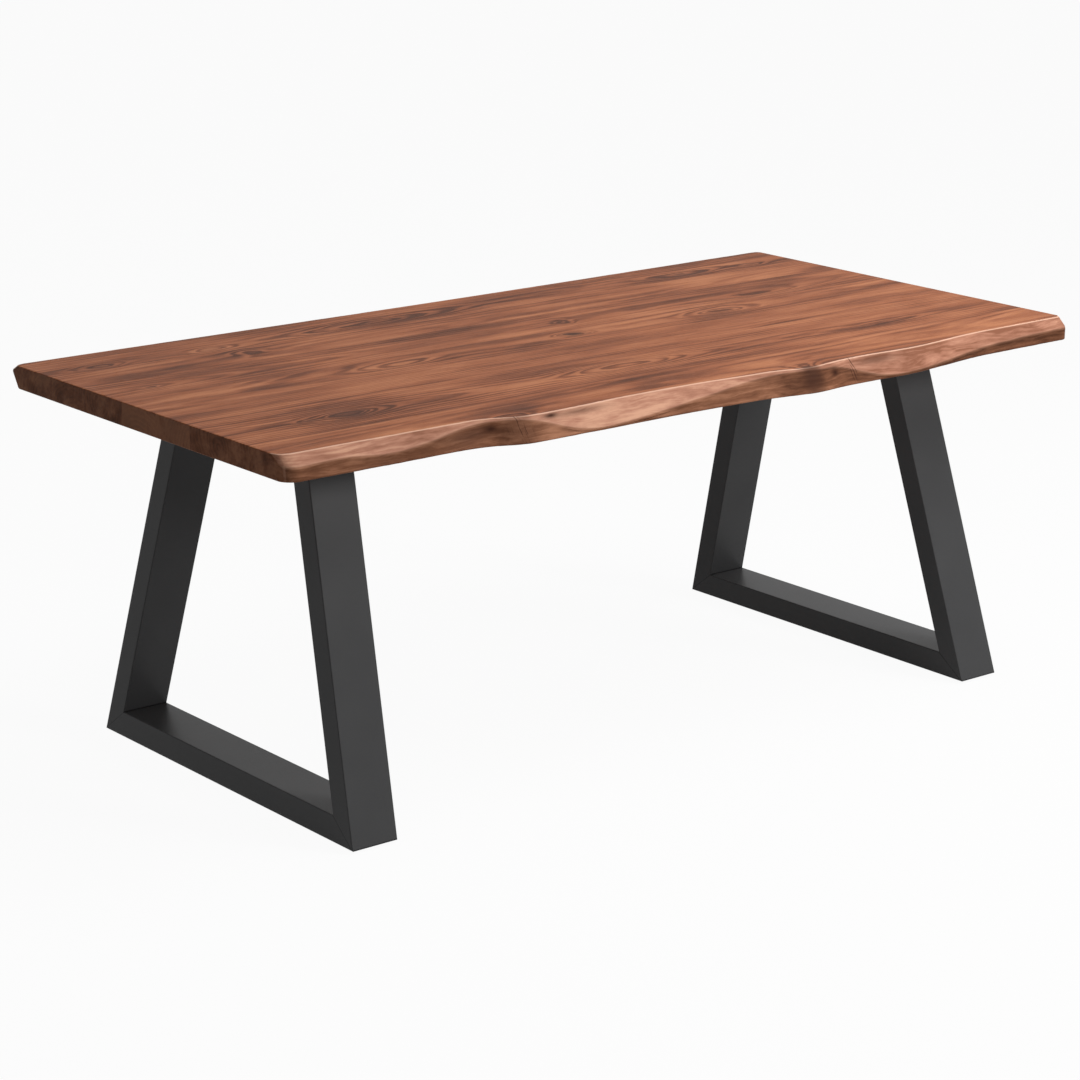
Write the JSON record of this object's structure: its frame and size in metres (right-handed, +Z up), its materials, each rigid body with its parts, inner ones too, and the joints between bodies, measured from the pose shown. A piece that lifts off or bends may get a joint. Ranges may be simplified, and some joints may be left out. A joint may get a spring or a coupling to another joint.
{
  "type": "dining table",
  "caption": "Rectangular dining table: a live-edge top glued from solid wood boards on leaning trapezoid frames of rectangular steel tube, with levelling glides.",
  "frame": {"origin": "on the floor, under the middle of the table", "axes": "+X along the top towards the right frame, +Y towards the rear live edge, +Z up"},
  "size_m": [1.93, 1.0207, 0.76],
  "materials": {
    "oiled_wood": "brown hardwood, sanded and satin oiled",
    "powder_coated_steel": "matt charcoal powder coat with a fine texture",
    "blackened_screws": "black oxide on steel",
    "plated_steel": "bright zinc plate",
    "glide_plastic": "black nylon"
  },
  "bodies": {
    "table": {"board_1_rear_live_edge": "oiled_wood", "board_2": "oiled_wood", "board_3": "oiled_wood", "board_4": "oiled_wood", "board_5": "oiled_wood", "board_6": "oiled_wood", "board_7_front_live_edge": "oiled_wood", "left_front_upright": "powder_coated_steel", "left_rear_upright": "powder_coated_steel", "left_floor_bar": "powder_coated_steel", "left_mounting_plate": "powder_coated_steel", "left_screws": "blackened_screws", "left_washers": "blackened_screws", "left_threaded_inserts": "plated_steel", "left_glide_nuts": "plated_steel", "right_front_upright": "powder_coated_steel", "right_rear_upright": "powder_coated_steel", "right_floor_bar": "powder_coated_steel", "right_mounting_plate": "powder_coated_steel", "right_screws": "blackened_screws", "right_washers": "blackened_screws", "right_threaded_inserts": "plated_steel", "right_glide_nuts": "plated_steel"},
    "left_front_glide": {"left_front_glide_base": "glide_plastic", "left_front_glide_stud": "plated_steel"},
    "left_rear_glide": {"left_rear_glide_base": "glide_plastic", "left_rear_glide_stud": "plated_steel"},
    "right_front_glide": {"right_front_glide_base": "glide_plastic", "right_front_glide_stud": "plated_steel"},
    "right_rear_glide": {"right_rear_glide_base": "glide_plastic", "right_rear_glide_stud": "plated_steel"}
  },
  "joints": [
    {"name": "left_front_glide_height", "type": "slide", "parent": "table", "child": "left_front_glide", "axis": [0, 0, -1], "range_m": [0, 0.01]},
    {"name": "left_rear_glide_height", "type": "slide", "parent": "table", "child": "left_rear_glide", "axis": [0, 0, -1], "range_m": [0, 0.01]},
    {"name": "right_front_glide_height", "type": "slide", "parent": "table", "child": "right_front_glide", "axis": [0, 0, -1], "range_m": [0, 0.01]},
    {"name": "right_rear_glide_height", "type": "slide", "parent": "table", "child": "right_rear_glide", "axis": [0, 0, -1], "range_m": [0, 0.01]}
  ]
}
